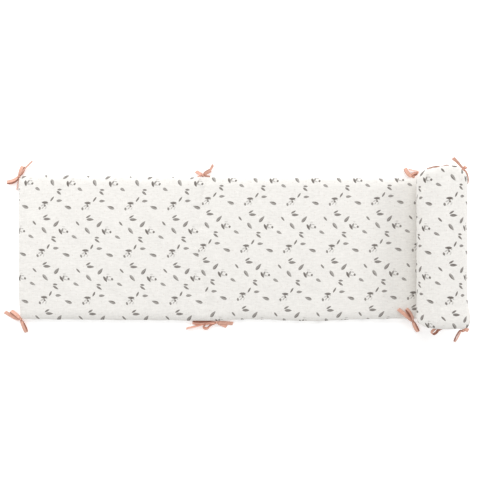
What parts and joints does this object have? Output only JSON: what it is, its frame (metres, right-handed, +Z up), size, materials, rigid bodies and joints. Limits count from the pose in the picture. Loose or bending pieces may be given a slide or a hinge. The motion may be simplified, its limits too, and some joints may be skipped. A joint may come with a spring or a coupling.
{
  "type": "padded crib bumper with ribbon ties, part rolled up",
  "caption": "Long padded cot bumper in leaf-and-bird printed cotton gauze, lying flat with one end rolled up onto itself, with knotted ribbon ties along both long edges.",
  "frame": {"origin": "on the flat underside, on the strip's long axis, 640 mm from its flat end", "axes": "+X along the strip towards the roll, +Y across it, +Z up from the flat underside"},
  "size_m": [1.2801, 0.4986, 0.144],
  "materials": {
    "printed_gauze": "matt off-white cotton double gauze with a small grey leaf and bird print",
    "ribbon": "soft salmon woven ribbon"
  },
  "bodies": {
    "root": {"bumper": "printed_gauze", "tie_1_upper": "ribbon", "tie_1_lower": "ribbon", "tie_2_upper": "ribbon", "tie_2_lower": "ribbon", "tie_3_upper": "ribbon", "tie_3_lower": "ribbon", "tie_4_upper": "ribbon", "tie_4_lower": "ribbon", "tie_5_upper": "ribbon", "tie_5_lower": "ribbon"}
  },
  "joints": []
}
